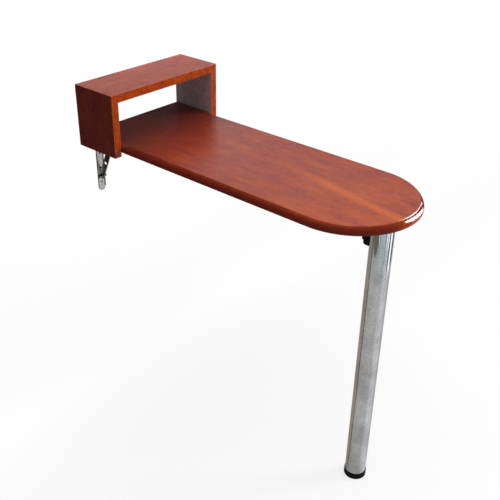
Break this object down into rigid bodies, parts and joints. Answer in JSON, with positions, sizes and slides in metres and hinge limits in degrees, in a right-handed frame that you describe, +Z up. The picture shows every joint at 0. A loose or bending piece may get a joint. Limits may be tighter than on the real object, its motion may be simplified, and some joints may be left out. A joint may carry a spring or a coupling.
{
  "type": "wall mounted drop leaf table",
  "caption": "Wooden leaf with a rounded end, pivoted in a small open wall box on steel brackets, with a folding chromed tube leg, a thumb lock and a levelling foot.",
  "frame": {"origin": "on the wall, in the middle of the bracket screw holes", "axes": "+Z up, +Y into the wall, +X to the right for someone who faces the wall"},
  "size_m": [0.414, 0.9779, 1.0329],
  "materials": {
    "stained_wood": "glossy red-brown stain and varnish",
    "dowel_wood": "plain beech",
    "bush_brass": "turned",
    "bracket_steel": "satin nickel",
    "strut_steel": "satin nickel",
    "fixing_steel": "zinc plated",
    "washer_nylon": "plain nylon",
    "black_steel": "black powder coat",
    "leg_chrome": "polished chrome",
    "black_plastic": "fine moulded grain",
    "foot_plastic": "ribbed"
  },
  "bodies": {
    "wall_box": {"box_top_board": "stained_wood", "box_left_panel": "stained_wood", "box_right_panel": "stained_wood", "corner_dowels": "dowel_wood", "left_cleat": "stained_wood", "right_cleat": "stained_wood", "cleat_dowels": "dowel_wood", "left_pivot_bush": "bush_brass", "right_pivot_bush": "bush_brass", "left_bracket_angle": "bracket_steel", "right_bracket_angle": "bracket_steel", "left_bracket_strut": "strut_steel", "right_bracket_strut": "strut_steel", "bracket_spacers": "fixing_steel", "bracket_rivets": "fixing_steel", "bracket_arm_screws": "fixing_steel"},
    "leaf": {"leaf_board": "stained_wood", "left_pivot_pin": "fixing_steel", "right_pivot_pin": "fixing_steel", "left_pivot_washer": "washer_nylon", "right_pivot_washer": "washer_nylon", "leg_base_plate": "black_steel", "base_plate_screws": "fixing_steel"},
    "leg": {"leg_tube": "leg_chrome", "leg_hinge_block": "black_plastic", "leg_hinge_pin": "fixing_steel", "leg_end_plug": "black_plastic", "foot_nut": "fixing_steel"},
    "leg_lock": {"lock_bolt": "fixing_steel", "lock_slider": "black_plastic"},
    "foot": {"foot_stud": "fixing_steel", "foot_pad": "foot_plastic"}
  },
  "joints": [
    {"name": "leaf_drop", "type": "hinge", "parent": "wall_box", "child": "leaf", "pos_m": [0, -0.12, 0.1131], "axis": [1, 0, 0], "range_deg": [0, 90]},
    {"name": "leg_fold", "type": "hinge", "parent": "leaf", "child": "leg", "pos_m": [0, -0.886, 0.0581], "axis": [1, 0, 0], "range_deg": [0, 90]},
    {"name": "lock_slide", "type": "slide", "parent": "leg", "child": "leg_lock", "axis": [0, 0, 1], "range_m": [0, 0.006]},
    {"name": "foot_adjust", "type": "slide", "parent": "leg", "child": "foot", "axis": [0, 0, -1], "range_m": [0, 0.015]}
  ]
}
